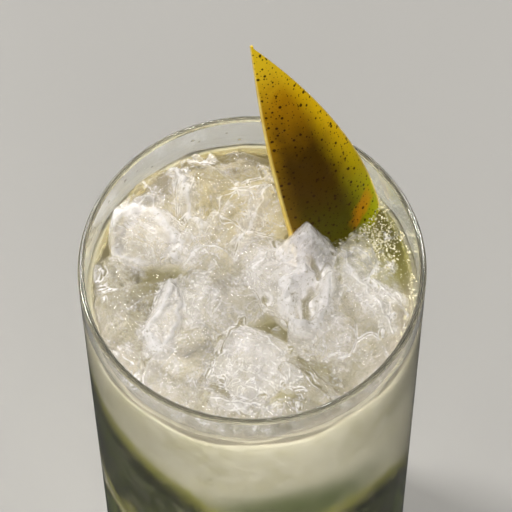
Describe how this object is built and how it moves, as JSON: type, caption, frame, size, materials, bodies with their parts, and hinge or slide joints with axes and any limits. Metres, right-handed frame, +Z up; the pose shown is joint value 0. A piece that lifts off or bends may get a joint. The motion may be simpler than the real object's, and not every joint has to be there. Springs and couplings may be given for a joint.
{
  "type": "mojito cocktail",
  "caption": "Tall straight-sided glass of cloudy minty drink packed with cracked ice, with a thin slice of mango standing in the ice against the wall.",
  "frame": {"origin": "centre of the glass's foot, on the surface it stands on", "axes": "+Z up the glass, +Y to the back where the mango slice's tip points, +X to the right of the picture's view"},
  "size_m": [0.072, 0.072, 0.1863],
  "materials": {
    "clear_glass": "clear polished glass",
    "cloudy_drink": "cloudy pale drink",
    "wet_ice": "wet clear ice with white cracks",
    "mango_skin": "smooth waxy fruit skin with small dark dots"
  },
  "bodies": {
    "root": {"glass": "clear_glass", "drink": "cloudy_drink", "ice": "wet_ice", "mango_slice": "mango_skin"}
  },
  "joints": []
}
